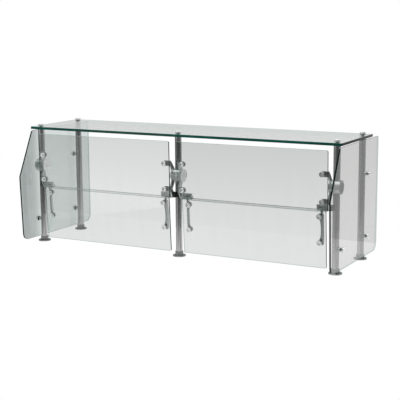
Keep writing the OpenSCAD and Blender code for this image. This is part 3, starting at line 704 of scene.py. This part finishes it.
endDisc = {"near": 19.6 * mm, "radius": 25.0, "thick": 4.4, "edge": 1.3, "face": 20.0, "faceLip": 0.5,
           "recess": 0.8, "steps": 120, "bore": 3.0, "headRadius": 5.5, "headThick": 1.8, "headEdge": 0.5,
           "screwTip": 13.9 * mm, "socket": 2.0, "socketDepth": 1.4, "socketLip": 0.4, "socketBevel": 0.2}


def makeEndDiscs():
    d = endDisc
    face = d["thick"] - d["recess"]
    disc = [(0, d["bore"], 0), *rim(0, d["thick"], d["radius"], d["edge"]),
            (d["thick"], d["face"] + d["faceLip"], 0), (face, d["face"], 0), (face, d["headRadius"], 0),
            (face - d["headThick"], d["headRadius"], 0), (face - d["headThick"], d["bore"], 0)]
    shank = (d["near"] - d["screwTip"]) / mm + d["thick"] - d["recess"] - d["headThick"]
    top = shank + d["headThick"]
    screw = [(0, 0, 0), (0, d["bore"], 0), (shank, d["bore"], 0), (shank, d["headRadius"], 0),
             *topBend(top, d["headRadius"], d["headEdge"]),
             *hexSocket(top, d["socket"], d["socketDepth"], d["socketLip"], d["socketBevel"])]
    discs, screws = [], []
    for start, into in [end for side in sides for end in bayEnds(side)]:
        axes = sideward(into)
        discs.append(turned("disc", disc, [(start + into * d["near"], hubAt.y, hubAt.z)], axes,
                            finishes["satinPaintedLight"], True, d["steps"]))
        screws.append(turned("screw", screw, [(start + into * d["screwTip"], hubAt.y, hubAt.z)], axes,
                             finishes["turned"]))
    hand(joined("hubEndDiscs", discs), "frame", "satin_steel", "hub_end_discs")
    hand(joined("hubDiscScrews", screws), "frame", "satin_steel", "hub_disc_screws")


bumper = {"near": 4 * mm, "far": 15.3 * mm, "back": -14.86 * mm, "deep": 7.2 * mm, "middle": -72 * mm,
          "tall": 22 * mm, "corner": 2.0 * mm, "arris": 1.0 * mm}


def makeBumpers():
    b = bumper
    half = b["tall"] / 2
    loop = oblong(b["back"] - b["deep"], b["middle"] - half, b["back"], b["middle"] + half, b["corner"])
    for side in sides:
        blocks = []
        for start, into in bayEnds(side):
            low, high = sorted((start + into * b["near"], start + into * b["far"]))
            blocks.append(sheetPiece("block", loop, [], low, high, b["arris"], tilted["upper"] @ endwise,
                                     [finishes["rubber"], finishes["rubber"]]))
        hand(joined(side + "StopBumpers", blocks), side + "_upper", "rubber", side + "_stop_bumpers")


makeTopCaps()
makeSeats()
makeStandoffs()
makeButtons()
makeEndDiscs()
makeBumpers()
print("turned and moulded pieces made")

slotFinish = {"brushed_tube": "tube", "satin_steel": "cast", "rubber": "rubber", "clear_plastic": "nylon",
              "glass": "front"}


def dressNodes():
    slots = {p["node"]: p["material_slot"] for p in frame["record"]["subparts"]}
    for name, node in nodes.items():
        # the feet take the darker foot copy of the cast steel, painted shade
        skin = finishes["foot" if name.startswith("foot_") else slotFinish[slots[name]]]
        if node.data.materials:
            node.data.materials[0] = skin
        else:
            node.data.materials.append(skin)


dressNodes()
print("CAD nodes dressed")

studio = {"backdrop": 1.0, "room": 0.21, "rear": 0.50, "rearRange": (-0.1, 0.6), "sky": 0.25,
          "card": 0.09, "cardWay": (0.47, -0.88), "cardRange": (0.90, 0.985),
          "table": (-1.35, 1.35, -0.90, 0.43), "tableLevel": -0.0003, "fade": (-0.80, -0.22),
          "matt": 0.10, "glow": 0.93}
softboxes = {
    "above": {"place": (0.0, -0.5, 2.0), "aim": (0.0, 0.0, 0.3), "wide": 2.4, "deep": 1.1, "power": 32},
    "left": {"place": (-1.75, -2.3, 0.35), "aim": (0.0, 0.0, 0.2), "wide": 0.9, "deep": 2.0, "power": 6},
}


def makeWorld(scene):
    # a white backdrop; what shines sees a dim room, its lit rear wall and a dark card in front
    world = bpy.data.worlds.new("studio")
    scene.world = world
    world.use_nodes = True
    shader = Shader(world.node_tree)
    x, y, z = shader.parts(shader.node("ShaderNodeTexCoord"))
    rear = shader.between(y, *studio["rearRange"]) * studio["rear"]
    room = rear + studio["room"] + z.orMore(0.0) * studio["sky"]
    toCard = x * studio["cardWay"][0] + y * studio["cardWay"][1]
    room = room - shader.between(toCard, *studio["cardRange"]) * studio["card"]
    seen = shader.node("ShaderNodeLightPath")
    level = seen * studio["backdrop"] + (1 - seen) * room
    light = shader.node("ShaderNodeBackground", {}, {"Color": grey(1.0), "Strength": level})
    shader.finish(light, "ShaderNodeOutputWorld")


def makeSoftboxes(scene):
    for name, box in softboxes.items():
        lamp = bpy.data.objects.new(name, bpy.data.lights.new(name, "AREA"))
        lamp.data.shape, lamp.data.size, lamp.data.size_y = "RECTANGLE", box["wide"], box["deep"]
        lamp.data.energy = box["power"]
        way = Vector(box["aim"]) - Vector(box["place"])
        lamp.matrix_world = Matrix.Translation(box["place"]) @ way.to_track_quat("-Z", "Y").to_matrix().to_4x4()
        scene.collection.objects.link(lamp)


def makeTable():  # a pale table top that fades to clear at its front
    x0, x1, y0, y1 = studio["table"]
    corners = np.array([(x, y, studio["tableLevel"]) for x, y in ((x0, y0), (x1, y0), (x1, y1), (x0, y1))])
    floor = finishMesh("floor", corners, [[0, 1, 2, 3]], [])
    made, shader = newMaterial("floor")
    matt = shader.node("ShaderNodeBsdfDiffuse", {}, {"Color": grey(studio["matt"])})
    glow = shader.node("ShaderNodeEmission", {}, {"Strength": studio["glow"]})
    lit = shader.node("ShaderNodeAddShader", {}, {0: matt, 1: glow})
    inward = shader.between(shader.parts(shader.place())[1], *studio["fade"])
    shader.finish(shader.mix(inward, shader.clear(grey(1.0)), lit))
    floor.data.materials.append(made)


def makeStudio():
    scene = bpy.context.scene
    scene.view_settings.view_transform = "Standard"
    makeWorld(scene)
    makeSoftboxes(scene)
    makeTable()


makeStudio()
print("studio lit")
